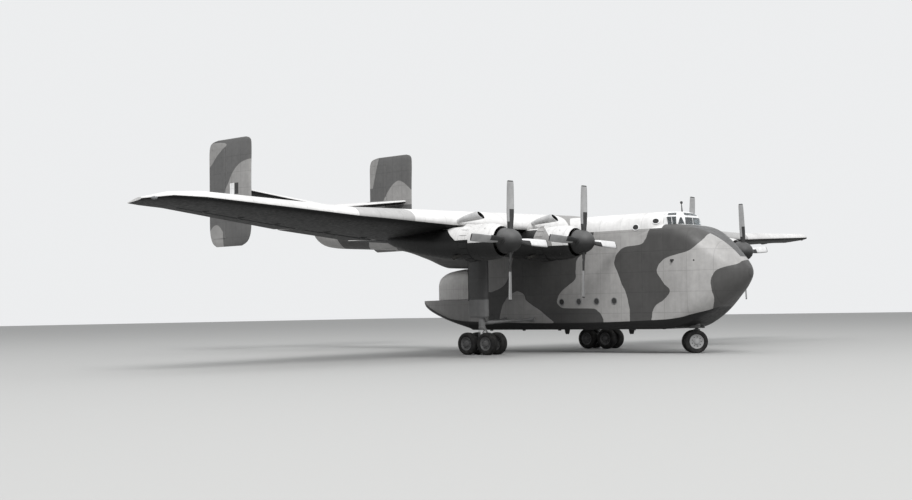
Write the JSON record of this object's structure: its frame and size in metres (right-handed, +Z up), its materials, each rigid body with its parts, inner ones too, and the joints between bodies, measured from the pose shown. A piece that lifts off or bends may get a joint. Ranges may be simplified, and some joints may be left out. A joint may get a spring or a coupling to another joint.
{
  "type": "four-engine military transport plane, 1:2 scale model",
  "caption": "Twin-finned high-wing transport plane at half size with radial engines, hollow freight hold, rear doors, ramp and fixed gear.",
  "frame": {"origin": "centre of the bounding box in plan, on the ground under the tyres", "axes": "+X forward along the body, +Y to port along the wing span, +Z up"},
  "size_m": [15.15, 24.68, 5.905],
  "materials": {
    "light_paint": "satin",
    "dark_paint": "satin",
    "bare_metal": "satin",
    "tyre": "matte",
    "glass": "gloss",
    "interior": "matte"
  },
  "bodies": {
    "airframe": {"nose_shell": "light_paint", "hold_shell": "dark_paint", "hold_floor": "bare_metal", "tail_boom": "dark_paint", "canopy_frame": "light_paint", "canopy_glass": "glass", "pilot_seat_left": "interior", "pilot_seat_right": "interior", "instrument_panel": "interior", "wing_centre": "dark_paint", "outer_wing_left": "dark_paint", "outer_wing_right": "dark_paint", "tailplane": "dark_paint", "fin_left": "dark_paint", "fin_right": "dark_paint", "main_leg_left": "light_paint", "main_leg_right": "light_paint", "nose_leg": "bare_metal", "nacelle_outer_left": "dark_paint", "cowl_outer_left": "light_paint", "engine_outer_left": "bare_metal", "nacelle_inner_left": "dark_paint", "cowl_inner_left": "light_paint", "engine_inner_left": "bare_metal", "nacelle_inner_right": "dark_paint", "cowl_inner_right": "light_paint", "engine_inner_right": "bare_metal", "nacelle_outer_right": "dark_paint", "cowl_outer_right": "light_paint", "engine_outer_right": "bare_metal"},
    "propeller_outer_left": {"propeller_outer_left": "bare_metal"},
    "propeller_inner_left": {"propeller_inner_left": "bare_metal"},
    "propeller_inner_right": {"propeller_inner_right": "bare_metal"},
    "propeller_outer_right": {"propeller_outer_right": "bare_metal"},
    "inner_flap_left": {"inner_flap_left": "dark_paint"},
    "outer_flap_left": {"outer_flap_left": "dark_paint"},
    "aileron_left": {"aileron_left": "dark_paint"},
    "elevator_left": {"elevator_left": "dark_paint"},
    "rudder_left": {"rudder_left": "dark_paint"},
    "inner_flap_right": {"inner_flap_right": "dark_paint"},
    "outer_flap_right": {"outer_flap_right": "dark_paint"},
    "aileron_right": {"aileron_right": "dark_paint"},
    "elevator_right": {"elevator_right": "dark_paint"},
    "rudder_right": {"rudder_right": "dark_paint"},
    "nose_strut": {"nose_yoke": "bare_metal"},
    "nose_wheels": {"nose_wheels": "tyre"},
    "front_wheels_left": {"front_wheels_left": "tyre"},
    "rear_wheels_left": {"rear_wheels_left": "tyre"},
    "rear_door_left": {"rear_door_left": "light_paint"},
    "front_wheels_right": {"front_wheels_right": "tyre"},
    "rear_wheels_right": {"rear_wheels_right": "tyre"},
    "rear_door_right": {"rear_door_right": "light_paint"},
    "tail_ramp": {"tail_ramp": "light_paint"},
    "crew_door": {"crew_door": "light_paint"}
  },
  "joints": [
    {"name": "propeller_outer_left_spin", "type": "hinge", "parent": "airframe", "child": "propeller_outer_left", "pos_m": [4.675, 4.83, 2.49], "axis": [1, 0, 0], "continuous": true},
    {"name": "propeller_inner_left_spin", "type": "hinge", "parent": "airframe", "child": "propeller_inner_left", "pos_m": [4.675, 2.25, 2.545], "axis": [1, 0, 0], "continuous": true},
    {"name": "propeller_inner_right_spin", "type": "hinge", "parent": "airframe", "child": "propeller_inner_right", "pos_m": [4.675, -2.25, 2.545], "axis": [1, 0, 0], "continuous": true},
    {"name": "propeller_outer_right_spin", "type": "hinge", "parent": "airframe", "child": "propeller_outer_right", "pos_m": [4.675, -4.83, 2.49], "axis": [1, 0, 0], "continuous": true},
    {"name": "inner_flap_left_hinge", "type": "hinge", "parent": "airframe", "child": "inner_flap_left", "pos_m": [0.60953, 2.875, 2.78209], "axis": [-0.0544, -0.9985, -0.0015], "range_deg": [0, 38]},
    {"name": "outer_flap_left_hinge", "type": "hinge", "parent": "airframe", "child": "outer_flap_left", "pos_m": [1.0078, 6.325, 2.8271], "axis": [-0.2031, -0.9787, -0.0298], "range_deg": [0, 38]},
    {"name": "aileron_left_hinge", "type": "hinge", "parent": "airframe", "child": "aileron_left", "pos_m": [1.67916, 9.5875, 2.97329], "axis": [-0.2001, -0.9783, -0.0541], "range_deg": [-22, 22]},
    {"name": "elevator_left_hinge", "type": "hinge", "parent": "airframe", "child": "elevator_left", "pos_m": [-7.02364, 1.6825, 4.27002], "axis": [-0.0864, -0.9903, -0.1085], "range_deg": [-28, 20]},
    {"name": "rudder_left_hinge", "type": "hinge", "parent": "airframe", "child": "rudder_left", "pos_m": [-6.875, 3.15, 4.4], "axis": [0, 0, 1], "range_deg": [-25, 25]},
    {"name": "inner_flap_right_hinge", "type": "hinge", "parent": "airframe", "child": "inner_flap_right", "pos_m": [0.60953, -2.875, 2.78209], "axis": [0.0544, -0.9985, 0.0015], "range_deg": [0, 38]},
    {"name": "outer_flap_right_hinge", "type": "hinge", "parent": "airframe", "child": "outer_flap_right", "pos_m": [1.0078, -6.325, 2.8271], "axis": [0.2031, -0.9787, 0.0298], "range_deg": [0, 38]},
    {"name": "aileron_right_hinge", "type": "hinge", "parent": "airframe", "child": "aileron_right", "pos_m": [1.67916, -9.5875, 2.97329], "axis": [0.2001, -0.9783, 0.0541], "range_deg": [-22, 22]},
    {"name": "elevator_right_hinge", "type": "hinge", "parent": "airframe", "child": "elevator_right", "pos_m": [-7.02364, -1.6825, 4.27002], "axis": [0.0864, -0.9903, 0.1085], "range_deg": [-28, 20]},
    {"name": "rudder_right_hinge", "type": "hinge", "parent": "airframe", "child": "rudder_right", "pos_m": [-6.875, -3.15, 4.4], "axis": [0, 0, 1], "range_deg": [-25, 25]},
    {"name": "nose_steering", "type": "hinge", "parent": "airframe", "child": "nose_strut", "pos_m": [6.15, 0, 0.55], "axis": [0, 0, 1], "range_deg": [-105, 15]},
    {"name": "nose_wheels_spin", "type": "hinge", "parent": "nose_strut", "child": "nose_wheels", "pos_m": [6.11464, -0.03536, 0.265], "axis": [-0.7071, 0.7071, 0], "continuous": true},
    {"name": "front_wheels_left_spin", "type": "hinge", "parent": "airframe", "child": "front_wheels_left", "pos_m": [2.075, 2.4, 0.265], "axis": [0, 1, 0], "continuous": true},
    {"name": "rear_wheels_left_spin", "type": "hinge", "parent": "airframe", "child": "rear_wheels_left", "pos_m": [1.475, 2.4, 0.265], "axis": [0, 1, 0], "continuous": true},
    {"name": "rear_door_left_hinge", "type": "hinge", "parent": "airframe", "child": "rear_door_left", "pos_m": [-0.03, 0.83, 1.7], "axis": [0, 0, -1], "range_deg": [0, 95]},
    {"name": "front_wheels_right_spin", "type": "hinge", "parent": "airframe", "child": "front_wheels_right", "pos_m": [2.075, -2.4, 0.265], "axis": [0, 1, 0], "continuous": true},
    {"name": "rear_wheels_right_spin", "type": "hinge", "parent": "airframe", "child": "rear_wheels_right", "pos_m": [1.475, -2.4, 0.265], "axis": [0, 1, 0], "continuous": true},
    {"name": "rear_door_right_hinge", "type": "hinge", "parent": "airframe", "child": "rear_door_right", "pos_m": [-0.03, -0.83, 1.7], "axis": [0, 0, 1], "range_deg": [0, 95]},
    {"name": "tail_ramp_hinge", "type": "hinge", "parent": "airframe", "child": "tail_ramp", "pos_m": [-0.03, 0, 0.565], "axis": [0, -1, 0], "range_deg": [0, 28]},
    {"name": "crew_door_hinge", "type": "hinge", "parent": "airframe", "child": "crew_door", "pos_m": [5.695, 0.83, 1.25], "axis": [0, 0, -1], "range_deg": [0, 95]}
  ],
  "couplings": [
    {"joint": "aileron_right_hinge", "follows": "aileron_left_hinge", "ratio": -1},
    {"joint": "inner_flap_right_hinge", "follows": "inner_flap_left_hinge", "ratio": 1},
    {"joint": "outer_flap_left_hinge", "follows": "inner_flap_left_hinge", "ratio": 1},
    {"joint": "outer_flap_right_hinge", "follows": "inner_flap_left_hinge", "ratio": 1},
    {"joint": "elevator_right_hinge", "follows": "elevator_left_hinge", "ratio": 1},
    {"joint": "rudder_right_hinge", "follows": "rudder_left_hinge", "ratio": 1}
  ]
}
